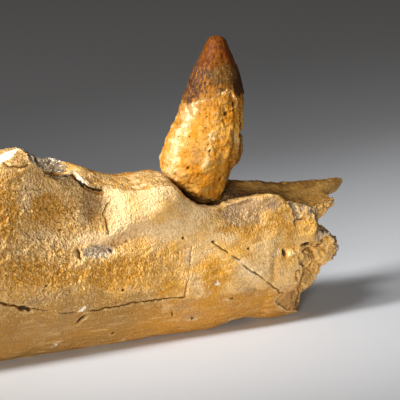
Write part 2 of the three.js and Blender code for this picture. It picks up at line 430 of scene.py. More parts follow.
# Where the outer face's skin ends at the front break: heights, and how far forward it reaches there.
SKIN_HEIGHTS = [0, 14, 15.5, 18.2, 20.7, 24.6, 27.8, 30.1, 32, 33.5, 36, 38, 41.7, 43, 46, 50, 58]
SKIN_ENDS = [45, 44, 43.3, 42.9, 43.7, 43, 40, 39, 40.3, 46.5, 48, 47.3, 48, 50, 49, 46, 44]

# The outer face's own swellings and dips, as patches: x, z, half length and width, how far out, tilt, edge.
OUTER_FORMS = [
    (-33, 60.5, 16, 8.5, 1.3, 24), (-47, 47.6, 8, 1.9, -1.4, 22), (-53.5, 62, 7, 9, -2.9, -12, 3),
    (-70, 62, 9, 8, 0.5, -30), (6, 58.6, 12, 1.2, 0.7, 6), (-59.5, 41.4, 9, 2, 0.5),
]

# Where the outer face is covered in small grains: patches as above.
GRAINY = [
    (-84, 55, 44, 24, 1, -6, 5), (-78, 37, 40, 9, 0.8, -4, 4), (-42, 37, 24, 10, 0.6, -8, 3),
    (8, 50, 20, 5, 0.5, -5, 3),
]

# Small round or long pits of the outer face: x, z, half length and width, tilt, depth, how dark.
PITS = [
    (-88.2, 26.2, 1.9, 1.2, -5, 2.4, 1), (-85.9, 25.3, 1, 0.8, 0, 1.8, 1),
    (-63.2, 17.9, 2.7, 0.8, 40, 1.8, 0.85), (-18.6, 45.9, 0.65, 0.65, 0, 0.9, 1),
    (11.9, 37.9, 0.65, 0.6, 0, 0.9, 1), (4.8, 17.2, 1, 0.45, -15, 0.7, 0.9),
    (-12, 10, 0.8, 0.7, 0, 0.7, 0.8), (-46, 28, 0.65, 0.6, 0, 0.9, 1), (-47.7, 8.7, 1, 0.5, 15, 0.9, 1),
    (-71.4, 54.7, 0.9, 0.5, 0, 0.6, 0.8), (-48.8, 22.8, 0.5, 0.4, 0, 0.6, 0.8),
    (-38.8, 25.7, 0.5, 0.4, 0, 0.6, 0.8), (-79, 34.2, 0.8, 0.5, 20, 0.7, 0.9),
    (-4.4, 42.6, 0.9, 0.6, -20, 1.3, 0.85), (30.4, 33.4, 1, 2, 15, 1.8, 0.95),
    (43.2, 35.2, 3.5, 0.85, -3, 2.8, 1), (-22, 13.4, 0.45, 1.8, 15, 0.6, 0.8),
    (-50.2, 44, 0.7, 1.5, 35, 0.9, 0.7), (-36.9, 69.7, 0.6, 0.5, 0, 0.8, 1),
    (-27, 69, 0.6, 0.5, 0, 0.6, 0.6), (-86, 73, 0.5, 0.6, 0, 0.6, 0.8), (-89.9, 46, 0.4, 1.6, 25, 0.5, 0.5),
    (-43.5, 47.4, 0.8, 0.5, 20, 0.6, 0.5),
]

# The front break's own forms: [x, y, z], reach, how far out, rim steepness.
BREAK_FORMS = [
    ((59.5, -9, 30), (6, 8, 7), 1.2, 5), ((57.5, -10, 26.5), (5, 6, 3.5), 1.2, 4),
    ((52, -13, 37.6), (5, 5, 2.4), 0.7, 5), ((33.4, -19, 33), (2.1, 3, 1.9), 1.4, 4),
    ((47, -12, 17.5), (5, 6, 2.5), 0.8, 4), ((-33, -10, 74), (9, 9, 5), 0.5, 3),
]


def cracks(points):
    """How deep the cracks cut, how far to one side of the nearest a point lies, and how strongly it shows."""
    bent = warped(points, 0.5, 2.6, 3)
    depth = np.zeros(len(points))
    side = np.full(len(points), 9.0)
    near = np.zeros(len(points))
    for n, (corners, width, deep, broken, shade) in enumerate(CRACKS):
        opened = ease(wander(points, 5, 20 + n), -0.9 + 1.1 * broken, -0.5 + 1.1 * broken)
        for step, share, off in legs(bent, corners):
            past = most(-share, share - 1, 0 * share) * np.hypot(*step)
            away = np.hypot(*off)
            sign = np.where(step[0] * off[1] - step[1] * off[0] < 0, -1, 1)
            closer = away < np.abs(side)
            side = np.where(closer, away * sign, side)
            strength = ease(away, 3, 1.5) * opened * ease(past, 1.2, 0.1) * shade
            near = np.where(closer, strength, near)
            depth = most(depth, deep * np.exp(-((away / width) ** 2)) * (0.25 + 0.75 * opened))
    return depth, side, near


def zones(points, normals):
    """Where the bone's different kinds of surface lie."""
    x, y, z = points.T
    forward, inward, upward = normals.T
    outer = ease(-inward, 0.1, 0.55) * ease(-y, 2, 7)
    skin_end = np.interp(z, SKIN_HEIGHTS, SKIN_ENDS)
    past_edge = ease(x - skin_end + 0.5 * wander(points, 3, 40), -0.3, 0.5)
    front = past_edge * ease(-y, 2, 8) * ease(forward - 0.5 * inward, -0.2, 0.3)
    rear = ease(-forward, 0.4, 0.75) * ease(-x, 138, 146)
    end = most(ease(forward, 0.3, 0.65) * ease(x, 38, 46), rear)
    broken = most(front, end)
    hollow = ease(inside(warped(points, 0.5, 2.5, 44), HOLLOW), -0.3, 0.4)
    rear_socket = lump(points, (-123, 0, 82), (14, 13, 9), 5) * ease(upward, 0, 0.4)
    socket = lump(points, (1, 0, 60), (23, 16, 9), 5) * ease(upward + 0.4 * (np.hypot(x, y) < 17), 0.15, 0.5)
    trough = ease(x, 10, 22) * ease(y, -13, -9) * ease(upward, 0.5, 0.85) * ease(x, 68, 60)
    wall = ease(0.6 * upward - inward, 0, 0.4) * ease(y, -4, 0) * ease(z, 30, 36) * (1 - hollow)
    return dict(
        outer=outer * (1 - broken),
        broken=broken,
        past_edge=past_edge * ease(-y, 4, 9) * ease(x, 30, 34),
        rear=rear,
        core=end * ease(-x, 138, 146) * lump(points, (-152, 1, 42), (30, 15, 34), 5),
        socket=socket,
        trough=trough,
        wall=most(wall, trough),
        grit=np.clip(hollow + rear_socket + 0.8 * socket, 0, 1),
    )


def grainy(points):
    """How strongly the outer face is covered in small grains."""
    covered = most(*(patch(points, *row) for row in GRAINY))
    smooth = patch(points, -58, 49.5, 9, 3.5, 0.7, 0, 4)
    return np.clip(covered - smooth, 0, 1) * ease(points[:, 2], 21, 27)


def pores(points):
    """The spongy core's pores, as seen in the rear break: 0 in the middle of one."""
    return grains(warped(points, 0.8, 3, 77), 2.9, 25)


def shaved(points, origin, normal, near):
    """Cuts what stands above a plane flat, where near is 1."""
    normal = np.array(normal) / np.linalg.norm(normal)
    above = (points - np.array(origin)) @ normal
    cut = np.where(above > 0.6, above - 0.3, np.where(above > 0, above * above / 2.4 + above * 0.25, 0))
    return points - normal * (cut * near)[:, None]


def cut_rear_top(points, normals):
    """Ends the knob in its two broken slopes, and the rear hollow in a step up."""
    knob = ease(points[:, 0], -112, -99) * ease(points[:, 0], -76, -80) * ease(points[:, 2], 70, 76)
    for place, way in (FACET, STEEP_FACET):
        points = shaved(points, place, way, knob)
    along = points[:, 0] + 0.35 * points[:, 1] + 0.8 * wander(points, 3, 43)
    raised = 0.5 * ease(along, -64.5, -63) * ease(along, -50, -60)
    sunk = 0.6 * ease(along, -80, -76) * ease(along, -63, -64.5)
    points[:, 2] += ease(normals[:, 2], 0.2, 0.6) * (raised - sunk)
    return points


def surface_relief(points, normals, zone):
    """Broad unevenness everywhere, and on it the relief of each kind of surface, in millimetres outwards."""
    outer, broken, grit = zone["outer"], zone["broken"], zone["grit"]
    grain = outer * grainy(points)
    out = 0.5 * wander(points * (0.6, 1, 1), 13, 1) + 0.28 * rough(points * (0.7, 1, 1), 5, 2, 2)
    out += grain * (0.34 - 0.6 * grains(warped(points, 0.4, 1.3, 17), 1.35, 5))
    out += grain * 0.55 * rough(points, 3.2, 6, 3, 0.6)
    out += outer * (1 - grainy(points)) * 0.24 * rough(points * (0.35, 1, 1.2), 2.2, 7, 2)
    out += broken * (1.2 * rough(points * (0.7, 1, 1), 6, 8, 4, 0.6) - 0.4 * grains(points, 2.6, 9))
    out += zone["past_edge"] * (0.9 * rough(points, 4, 18, 3, 0.6) + 0.7 * rough(slanted(points), 1.9, 19, 2))
    out += zone["rear"] * (1.1 * rough(points, 9, 76, 3, 0.6) + 0.7 * zone["core"] - 0.35)
    out -= zone["core"] * (1.3 - 1.3 * ease(pores(points), 0.12, 0.45))
    out += grit * (0.8 * rough(points, 3.2, 10, 3, 0.6) + 0.5 * (0.5 - grains(points, 1.7, 11)))
    rim = ease(normals[:, 2], 0.25, 0.6) * (1 - grit)
    out += rim * 0.45 * rough(points, 4, 12, 3)
    inner = most(ease(normals[:, 1], 0.1, 0.5), zone["wall"])
    worn = 0.25 * grains(points, 3, 14) * ease(wander(points, 16, 15), -0.2, 0.3)
    out += inner * (0.3 * rough(points * (0.4, 1, 1), 6, 13, 3) - worn)
    return out


def slanted(points):
    """Points squeezed so that noise on them runs in ridges that slant up and forward."""
    x, y, z = points.T
    return np.stack([x * 0.8 - z * 0.6, y, (x * 0.6 + z * 0.8) * 0.25], 1)


def carve_outer_face(out, points, zone):
    """Adds the outer face's swellings, dips, pits and cracks, and the front break's forms, to the relief."""
    outer = zone["outer"]
    y = points[:, 1]
    out += outer * patches(points, OUTER_FORMS)
    out -= outer * patch(warped(points, 1.2, 4, 45), 6.5, 54, 8.5, 3.4, 0.9, 8, 5)
    pits = patches(points, [(*size, deep, tilt, 4) for *size, tilt, deep, _ in PITS])
    out -= pits * ease(-y, 4, 9)
    for centre, reach, amount, edge in BREAK_FORMS:
        out += amount * lump(points, centre, reach, edge)
    depth, _, _ = cracks(points)
    bent = warped(points, 1.0, 2.6, 41)
    for corners, width, deep in [*CREVICES, (GROOVE, 1.0, 1.9), (HOLLOW_SHADE, 0.8, 0.9)]:
        depth = most(depth, deep * stroke(bent, corners, width))
    near_side = ease(-y, 3, 8)
    out -= depth * near_side
    standing = most(inside(bent, PLATE), inside(bent, KNOB))
    out -= 1.3 * zone["past_edge"] * ease(standing, 0.4, -0.4)
    chipped = ease(inside(bent, LOWER_CHIP), -0.3, 0.3) * near_side
    out += chipped * (0.5 * rough(slanted(points), 1.9, 21, 2) + 0.5 * rough(points, 3, 22, 3) - 1.4)
    out -= 0.5 * ease(inside(bent, SPECKLED), -0.3, 0.4) * near_side
    out -= 0.4 * ease(inside(bent, PITTED_SCAR), -0.4, 0.5) * near_side
    out += 0.7 * stroke(bent, RIB, 0.8) * near_side
    crumbled = ease(inside(bent, CRUMBLED), -1, 1) * near_side
    out += crumbled * (0.55 * rough(points, 2.6, 46, 3, 0.6) + 0.45 * (0.5 - grains(points, 1.6, 47)))
    rims = most(stroke(bent, CREST, 1.8), stroke(bent, KNOB_RIM, 1.8)) * near_side
    out += rims * (0.9 * rough(points, 2.4, 48, 2) + 0.5 * (0.5 - grains(points, 1.5, 16)))
    out += 0.3 * stroke(bent, HOLLOW_CHIP, 0.7, 4)
    out -= 3.0 * ease(tooth_gap(points), 3.3 + 1.5 * wander(points, 2.2, 49), 0.8)


def sculpt_bone():
    gentle, strong = even_mesh("jaw_bone", BONE_VOXEL, (6, 60))
    points = places(gentle)
    eased = places(strong)
    normals = facing(strong)
    zone = zones(points, normals)
    sharp = np.clip(zone["broken"] + 0.6 * zone["grit"], 0, 1)[:, None]
    points = cut_rear_top(points * sharp + eased * (1 - sharp), normals)
    move_to(gentle, points)
    normals = facing(gentle)
    out = surface_relief(points, normals, zone)
    carve_outer_face(out, points, zone)
    low, high = (np.array(corner) / MM - SOCKET for corner in CAD_BOX)
    move_to(gentle, np.clip(points + normals * out[:, None], low, high))

    # The places that show best keep the most triangles.
    x, y, _ = points.T
    shown = ease(x, -112, -98)
    detail = most(zone["outer"], zone["broken"], zone["grit"]) * shown * ease(-y, -12, -2)
    detail = most(detail, 0.7 * ease(normals[:, 2], 0, 0.4) * shown, 0.6 * zone["rear"])
    return thinned(gentle, BONE_FACES, detail)


# Stains and pale chips of the bone, as patches. Some are not stains: the violet and brown patches in the dip
# below the rear hollow are painted shade, and the broad brown and violet patches low on the rear part make it
# darker towards the bottom.
CREAM = [
    (-36, 61, 13, 8, 0.95, 26), (-46.5, 54, 5, 4, 0.9, 60, 3), (-32, 69, 12, 3.5, 0.7),
    (-20, 61, 9, 4, 0.4, -35), (28, 41, 6, 4.5, 0.6), (-84, 79, 5, 4, 0.3, -30), (-78, 54, 14, 3, 0.5, -4),
    (-61, 56.5, 5, 4.5, 0.6), (-56, 50, 10, 3, 0.95, 0, 3), (-14, 43, 9, 6, 0.6), (-24, 52, 12, 4, 0.5, 15),
    (-86, 69.5, 4.5, 7.5, 1.1, 0, 3), (-82, 53, 10, 4.5, 0.5), (-70, 49.5, 9, 4, 0.6),
    (-63.5, 61, 4, 4, 0.6), (-48, 63, 4.5, 7, 1.3, 0, 3), (-40, 50, 8, 3, 0.7), (-24.5, 49, 8, 4.5, 0.9),
    (-32, 43, 6, 3, 0.6), (-7.5, 57, 7, 4, 0.8), (20, 52, 10, 6, 0.6), (1.5, 44.5, 7, 4, 0.9),
    (-16, 35.5, 5, 4, 0.7), (-6, 38, 6, 3.5, 0.6), (11, 28, 6, 6, 0.8), (39, 46.5, 4, 2.5, 0.75),
    (33.2, 33.3, 2, 1.6, 1, 0, 4), (20, 22, 11, 5, 0.6, -30), (9, 32, 7, 3, 0.5, -40),
    (-67, 33, 8, 3, 0.45, 25), (-2, 62, 5, 3, 0.5), (-12, 52, 9, 3, 0.45, 10),
]
RUST = [
    (-96, 67, 7, 8, 1, 0, 3), (-74, 64, 14, 6, 0.8, -15, 3), (-90, 79, 8, 4, 0.6, 0, 3),
    (-92, 56, 7, 4, 0.5), (-84, 38, 16, 5.5, 1, -2, 3), (-66, 38, 9, 5, 0.75),
    (-48.5, 35, 9, 6.5, 1.05, 0, 3), (-28, 37, 10, 6, 0.65), (-36, 27, 9, 4, 0.5),
    (-4.5, 27.5, 6, 9, 1.3, -6, 3), (3.2, 47, 9, 2.6, 1.15, 4, 3), (30, 43.8, 8, 3.5, 0.9, 5),
    (16, 45, 7, 3, 0.7, 5), (20, 14.5, 13, 3.5, 0.65, 8), (-30, 11, 20, 4, 0.45, 4),
    (-62, 12, 16, 4, 0.45, 4), (-9, 16, 8, 4, 0.5, 4), (-95, 45, 7, 5, 0.5), (14, 41, 7, 4, 0.6),
    (-86, 43.5, 8, 4, 0.9), (-52, 35, 11, 5, 1, 0, 3), (-40, 38, 7, 4, 0.8), (-79, 63, 8, 6, 0.8, 0, 3),
    (-94, 62, 6, 8, 0.8, 0, 3), (-16.5, 41, 5, 3.5, 0.7), (-25, 26, 7, 5, 1), (28, 49, 5, 2.5, 0.8, 10),
]
VIOLET = [
    (6.5, 54, 8.5, 3.4, 0.95, 8, 3), (-8, 49, 6, 3, 0.5, -20), (-71, 31, 10, 2.5, 0.75, 5),
    (-85, 28.5, 6, 2.5, 0.6), (-14.6, 30, 4, 8, 0.45), (12, 22, 10, 4, 0.35, -35),
    (-80, 16, 24, 6, 0.45, 4), (-45, 14, 20, 3, 0.4, 4), (-12, 11, 6, 2.5, 0.6), (25, 52.5, 5, 2.5, 0.4),
    # The patch at x -58, z 63 is painted shade in the dip below the rear hollow.
    (-2, 21.5, 14, 2, 0.35), (-58, 63, 7, 7, 0.75, -15, 3), (10.5, 51, 8, 4.5, 1, 8, 3),
    (20, 56, 10, 3, 0.7), (28.5, 54, 4, 3, 0.7), (-16, 17, 6, 9, 0.4), (13, 16, 9, 5, 0.3, -20),
]
BROWN = [
    (-86, 14, 44, 19, 1.25, 4, 4), (-40, 13, 25, 12, 0.55, 4, 3), (-34, 25, 16, 4, 0.5),
    # The patches at x -61, z 67 and x -55, z 62.5 are painted shade in the dip below the rear hollow.
    (-91.5, 79, 7.5, 4.5, 1.9, 0, 3), (-95, 61, 5, 6, 0.6), (-61, 67, 12, 5, 0.8, -20, 3),
    (-55, 62.5, 7, 8, 1, -12), (26, 28, 12, 8, 0.45, -10), (7, 54, 9, 3.6, 1.1, 6, 3),
    (3.6, 47.2, 10, 3, 0.9, 4, 3), (28, 53.5, 4, 3, 0.5),
]
PALE_CHIPS = [
    (-63.5, 21.8, 2.4, 0.7, 0.9, 25, 3), (-84, 31, 6, 0.4, 0.5, 38, 3), (-88, 33, 4, 3, 0.35, 30, 3),
    (-3.2, 25.4, 1.6, 1.4, 0.75, 30, 3), (-6.2, 21.8, 1.7, 0.5, 0.6, 40, 3),
    (13, 27.6, 3.2, 0.4, 0.7, -38, 3), (6.2, 33.9, 4.2, 0.45, 0.8, -40, 3), (-72, 7.6, 5, 1.6, 0.45, 30, 3),
    (47.4, 34, 1.4, 0.5, 0.7, 25, 3), (47, 15, 4, 1.2, 0.45, 45, 3),
]


def facet_shown(points, normals):
    """1 on the bright broken slope on top of the knob, with uneven edges."""
    x, y, z = points.T
    place, way = np.array(FACET)
    above = (points - place) @ way + 0.35 * wander(points, 2, 69)
    facet = ease(above, -0.7, -0.2) * ease(normals @ way, 0.9, 0.97) * ease(-x, 78, 84)
    facet *= ease(x + 6 * wander(points, 7, 71), -111, -104) * ease(-y + 4 * wander(points, 5, 72), -3, 3)
    return facet * ease(z - 0.42 * x + 0.5 * wander(points, 2, 73), 122.6, 123.4)


def bone_marks(mesh):
    """Where each colour of the bone shows, as a value for each vertex."""
    points = places(mesh)
    normals = facing(mesh)
    x, y, z = points.T
    upward = normals[:, 2]
    zone = zones(points, normals)
    outer, core = zone["outer"], zone["core"]
    near_side = ease(-y, 2, 8)
    bent = warped(points, 1.0, 2.6, 41)
    blurred = warped(points, 1.6, 5, 60)
    _, side, near = cracks(points)

    pits = patches(points, [(*at, 0.95 * a, 0.95 * c, dark, tilt, 5) for *at, a, c, tilt, _, dark in PITS])
    # Painted shade in the front break's crevices.
    crevices = [0.7 * stroke(bent, corners, width * 0.75, 3) for corners, width, _ in CREVICES]
    dark = most(pits, *crevices, 0.95 * stroke(bent, HOLLOW_EDGE, 0.8, 4)) * near_side
    dark = most(dark, 0.45 * stroke(bent, HOLLOW_SHADE, 0.8, 3), 0.95 * core * ease(pores(points), 0.45, 0.2))

    crumbled = ease(inside(bent, CRUMBLED), 0, 3)
    grey = most(1.1 * stroke(bent, GROOVE, 1.0, 3), 0.8 * stroke(bent, CREST, 1.5, 3), 0.4 * crumbled)
    within = inside(bent, LOWER_CHIP)
    chip = ease(within, -0.4, 0.3)
    chip_rim = 0.9 * chip * ease(within, 1.6, 0.5) * ease(-x, -36, -30)
    grey = most(grey, stroke(bent, KNOB_RIM, 1.4, 3), chip_rim) * near_side

    facet = facet_shown(points, normals) * (1 - zone["grit"])
    inner_chip = lump(points, (59.5, -6, 50.5), (4, 4, 2.6), 3)
    rim_brown = 0.8 * ease(upward, 0.25, 0.6) * ease(x, -56, -46) * ease(x, -12, -24)
    knob_top = ease(upward, 0.3, 0.6) * ease(-x, 78, 82) * ease(x, -112, -104) * ease(z, 78, 80)
    rim_brown += 1.1 * knob_top * (1 - facet)

    stripes = ease(np.sin(x * 5.2 + 3 * wander(points, 1.5, 62)), -0.2, 0.5)
    speckled = ease(inside(bent, SPECKLED), -0.2, 0.4) * stripes
    chips = (patches(bent, PALE_CHIPS) + speckled) * near_side + 0.35 * inner_chip
    chips += stroke(points, HOLLOW_CHIP, 0.6, 4) * ease(-y, 5.5, 7)
    chips += stroke(bent, FAR_CHIP, 0.4, 4) * ease(y, -1, 1)
    chips += 1.3 * facet * ease(-x + 0.9 * wander(points, 2.5, 68), 84.5, 86)

    by_tooth = tooth_gap(points) + 1.2 * wander(points, 1.8, 75)
    # The trough beside the tooth, fading out away from it, takes the tooth's painted shadow.
    trough = zone["trough"] * ease(x + 5 * wander(points, 5, 66), 36, 22)
    standing = ease(most(inside(bent, PLATE), inside(bent, KNOB)), -0.2, 0.5) * near_side
    return dict(
        grit=zone["grit"],
        # Grit in the socket, with painted shade within a few millimetres of the tooth and the tooth's painted
        # shadow in the trough.
        socket=most(zone["socket"], trough, 0.9 * ease(by_tooth, 5, 2.5)),
        broken=zone["broken"] * (1 - 0.6 * standing),
        # Painted shade where the bone comes close to the tooth.
        gap=ease(by_tooth, 3.2, 0.8),
        dark=dark,
        grey=grey,
        cream=patches(blurred, CREAM) * outer,
        rust=patches(blurred, RUST) * outer + 1.5 * inner_chip,
        violet=patches(blurred, VIOLET) * outer,
        brown=patches(blurred, BROWN) * outer + rim_brown,
        pink=most(ease(inside(bent, PINK_PATCH), -0.3, 0.5), 0.45 * crumbled) * near_side,
        pitted=ease(inside(bent, PITTED_SCAR), -0.5, 0.5) * near_side,
        chips=chips,
        scar=most(chip * near_side, 1.05 * core),
        grain=outer * grainy(points),
        band=outer * ease(z + 0.02 * x + 1.5 * wander(points, 9, 61), 23, 17),
        inner=most(0.35 * ease(normals[:, 1], 0, 0.5), zone["wall"]),
        crack_near=near * near_side,
        crack_side=side,
        # How far each vertex lies below its neighbours, for painted shade in the hollows and painted
        # highlight on the rises.
        hollow=hollowness(mesh),
    )


# ---- the tooth's features

# The tooth's middle line: heights, and how far forward it lies there.
MIDDLE_HEIGHTS = [53, 61.8, 69, 79, 89.6, 97.1, 105, 112, 125.7]
MIDDLES = [0.5, -1.4, -1.6, 1.2, 4.4, 6, 7.4, 8, 8.4]

# Pits of the root: angle, height, reach round and up, depth.
ROOT_PITS = [
    (-1.30, 97.4, 0.07, 1.0, 1.8), (-1.30, 95.2, 0.06, 0.7, 1.5), (-1.58, 93.8, 0.07, 0.8, 1.6),
    (-2.36, 72.4, 0.04, 0.7, 0.7), (-1.24, 67, 0.05, 1.0, 1.0), (-2.88, 84.6, 0.03, 0.4, 0.5),
    (-2.55, 85, 0.03, 0.4, 0.5), (-2.2, 93, 0.03, 0.4, 0.5), (-2.16, 88.5, 0.03, 0.4, 0.5),
    (-1.9, 79.5, 0.04, 0.6, 0.6), (0.8, 80, 0.06, 1.2, 1.2), (1.9, 88, 0.05, 0.9, 1.0),
    (2.4, 70, 0.06, 1.0, 1.0),
]

# Pale patches of the root: angle, height, reach round and up, strength.
ROOT_STAINS = [
    (-2.9, 84, 0.36, 12, 0.9), (-2.8, 95, 0.35, 4, 0.9), (-1.95, 85, 0.15, 3, 0.9), (-1.93, 76, 0.12, 5, 0.9),
    (-2.85, 70, 0.4, 6, 0.55), (-1.0, 84, 0.4, 8, 0.5), (1.6, 82, 0.9, 12, 0.6),
]


def around_tooth(points):
    """The angle of each point round the tooth's middle line, from +X towards +Y."""
    return np.arctan2(points[:, 1], points[:, 0] - np.interp(points[:, 2], MIDDLE_HEIGHTS, MIDDLES))


def turned(angle, middle):
    """How far an angle is past another one, in radians, from -pi to pi."""
    return (angle - middle + math.pi) % (2 * math.pi) - math.pi


def bulge(angle, middle, reach):
    """1 all the way up the tooth at an angle, fading out over its reach."""
    return np.exp(-((turned(angle, middle) / reach) ** 2))


def dab(angle, z, middle, height, reach, tall, edge=2):
    """1 at an angle and height on the tooth, fading out over its reach round and up."""
    return np.exp(-((((turned(angle, middle) / reach) ** 2 + ((z - height) / tall) ** 2)) ** (edge / 2)))


def crown_foot(points, angle):
    """Height of the uneven line where the enamel ends, round the tooth."""
    rise = 3.2 * bulge(angle, -1.72, 0.42) - 2.6 * bulge(angle, -3.0, 0.45)
    foot = 100.2 + rise + 0.3 * np.sin(7 * angle) - 1.2 * ease(np.sin(angle), -0.2, 0.6)
    return foot + 0.9 * wander(points, 2, 50)


def in_socket(points):
    """1 on the root's foot, where it stands down in the socket."""
    return ease(points[:, 2] + 0.4 * points[:, 0] + 1.2 * wander(points, 1.6, 67), 58.8, 57)


def root_relief(points, angle):
    z = points[:, 2]
    out = 0.9 * wander(points, 6, 51) + 0.5 * rough(points, 3.4, 52, 3, 0.6) - 0.5 * ease(z, 88, 98)
    out += 0.35 * (0.5 - grains(points, 2.2, 53))
    ribbed = bulge(angle, -0.9, 0.5) * ease(z, 66, 74) * ease(z, 97, 92)
    out += 0.6 * ribbed * np.sin(angle * 15 + 0.12 * z + 2 * wander(points, 6, 58))
    out -= 0.6 * dab(angle, z + 2 * wander(points, 5, 74), -2.2, 77.5, 0.3, 6)
    out -= 1.6 * dab(angle, z, -0.55, 84.6, 0.4, 1.4, 3)
    out -= 1.3 * dab(angle, z, -3.1, 89, 0.5, 1.6, 3)
    out += 1.0 * dab(angle, z, -1.95, 60, 0.35, 2.4, 3)
    return out - 0.8 * in_socket(points)


def crown_relief(points, angle):
    z = points[:, 2]
    out = 0.24 * rough(points * (1, 1, 0.4), 3.0, 54, 3) - 0.15 * ease(z, 109, 105)
    out += 0.28 * ease(z + 1.2 * wander(points, 2.5, 65), 113, 112.4)
    out += 0.06 * np.sin(angle * 46 + 2 * wander(points, 8, 59)) * ease(z, 114, 108)
    out += 0.3 * dab(angle, z, -1.75, 110, 0.8, 3.4, 4) * ease(wander(points, 2.2, 55), -0.2, 0.3)
    out -= 0.5 * dab(angle, z, -1.62, 115.4, 0.22, 1.7, 4)
    return out + 0.35 * dab(angle, z, -2.6, 113.4, 0.3, 1.1, 3)


def sculpt_tooth():
    [tooth] = even_mesh("tooth", TOOTH_VOXEL, [60])
    points = places(tooth)
    angle = around_tooth(points)
    _, y, z = points.T
    crown = ease(z - crown_foot(points, angle), -0.7, 0.7)
    out = (1 - crown) * root_relief(points, angle) + crown * crown_relief(points, angle)
    for middle, height, reach, tall, deep in ROOT_PITS:
        out -= deep * dab(angle, z, middle, height, reach, tall, 3)
    points = points + facing(tooth) * out[:, None]
    points[:, 2] -= 0.6 * np.maximum(points[:, 2] - 124.2, 0)
    move_to(tooth, points)
    return thinned(tooth, TOOTH_FACES, ease(-y, -4, 2) * 0.8 + 0.2)


def tooth_marks(mesh):
    """Where each colour of the tooth shows, as a value for each vertex."""
    points = places(mesh)
    z = points[:, 2]
    angle = around_tooth(points)
    side = turned(angle, -2.08)
    above = z - crown_foot(points, angle) - 0.6 * wander(points, 0.9, 56)
    crown = ease(above, -0.9, 0.9)
    root = 1 - crown
    cream = sum(amount * dab(angle, z, m, h, r, t) for m, h, r, t, amount in ROOT_STAINS)
    cream += 1.2 * np.exp(-(((above + 0.7) / 0.9) ** 2)) * dab(angle, z, -2.2, 100, 1.2, 8, 3)
    brown = dab(angle, z + 3 * wander(points, 5, 74), -2.2, 78, 0.3, 6.5)
    brown += dab(angle, z, -0.8, 75, 0.5, 14, 3)
    return dict(
        crown=crown,
        crown_low=ease(above + 1.5 * wander(points, 3, 63), 7, 0.5),
        root_top=root * ease(above + 1.5 * wander(points, 3, 64), -9, -2),
        tip=crown * ease(z + 2.0 * wander(points, 4, 57), 110, 116),
        left_flank=crown * ease(-side, 0.35, 1.0) * (1 - 0.8 * ease(z, 112, 118)),
        # Painted shade on the crown's side away from the light.
        right_flank=crown * ease(side, 0.3, 0.95) * (1 - 0.5 * ease(z, 116, 123)),
        crust=crown * dab(angle, z, -1.7, 109.5, 0.9, 4.5, 4),
        cream=root * cream,
        brown=root * 0.8 * brown,
        holes=root * sum(dab(angle, z, m, h, r, t, 4) for m, h, r, t, _ in ROOT_PITS),
        # Painted shade with flecks of grit on the root's foot, down in the socket.
        socketed=in_socket(points),
        # How far each vertex lies below its neighbours, for painted shade in the hollows and painted
        # highlight on the rises.
        hollow=hollowness(mesh),
    )


# ---- finishes

# Places of the Mix node's colour sockets, whose names it uses more than once.
MIX_SHARE, MIX_UNDER, MIX_OVER, MIXED = 0, 6, 7, 2


class Wire:
    """A value in a material's node tree. Python arithmetic on it adds the Math nodes."""

    def __init__(self, tree, socket=None):
        self.tree = tree
        self.socket = socket

    def node(self, kind, sockets=None, output=0, **settings):
        """Any node: its settings first, then the values or wires of its sockets."""
        made = self.tree.nodes.new("ShaderNode" + kind)
        for name, value in settings.items():
            setattr(made, name, value)
        for name, value in (sockets or {}).items():
            if isinstance(value, Wire):
                self.tree.links.new(value.socket, made.inputs[name])
            else:
                made.inputs[name].default_value = value
        return Wire(self.tree, made.outputs[output] if made.outputs else None)

    def math(self, operation, *values):
        return self.node("Math", dict(enumerate(values)), operation=operation)

    def __add__(self, other):
        return self.math("ADD", self, other)

    __radd__ = __add__

    def __sub__(self, other):
        return self.math("SUBTRACT", self, other)

    def __rsub__(self, other):
        return self.math("SUBTRACT", other, self)

    def __mul__(self, other):
        return self.math("MULTIPLY", self, other)

    __rmul__ = __mul__

    def above(self, low, high):
        """0 below low, 1 above high, eased between."""
        ends = {"Value": self, "From Min": low, "From Max": high}
        return self.node("MapRange", ends, interpolation_type="SMOOTHSTEP")


def new_finish(name):
    finish = bpy.data.materials.new(name)
    finish.use_nodes = True
    finish.node_tree.nodes.clear()
    return finish, Wire(finish.node_tree)


def shade(start, **sockets):
    shader = start.node("BsdfPrincipled", {name.replace("_", " "): value for name, value in sockets.items()})
    start.node("OutputMaterial", {"Surface": shader})


def layered(colour, layers):
    """A colour with others laid over it in turn, each by its own share."""
    for over, share in layers:
        under, over = (c if isinstance(c, Wire) else (*c, 1) for c in (colour, over))
        sockets = {MIX_SHARE: share, MIX_UNDER: under, MIX_OVER: over}
        colour = share.node("Mix", sockets, output=MIXED, data_type="RGBA")
    return colour


def scaled_place(start, size, stretch):
    place = start.node("TexCoord", output="Object")
    return start.node("Mapping", {"Vector": place, "Scale": tuple(s / (size * MM) for s in stretch)})


def noise(start, size, detail=3, roughness=0.55, stretch=(1, 1, 1)):
    """Noise in the fossil's own space, with bumps of about size millimetres."""
    sockets = {"Scale": 1, "Detail": detail, "Roughness": roughness, "Distortion": 0}
    return start.node("TexNoise", {"Vector": scaled_place(start, size, stretch), **sockets})


def cell_noise(start, size):
    """Distance to the nearest of grains about size millimetres apart, in grain sizes."""
    place = scaled_place(start, size, (1, 1, 1))
    return start.node("TexVoronoi", {"Vector": place, "Scale": 1}, output="Distance")


def mark(start, name):
    return start.node("Attribute", attribute_name=name, output="Fac")


def ragged(name, breaker, amount, low=0.3, high=0.75):
    """A mark's share, with its edge broken up by noise."""
    return (mark(breaker, name) + (breaker - 0.5) * amount).above(low, high)


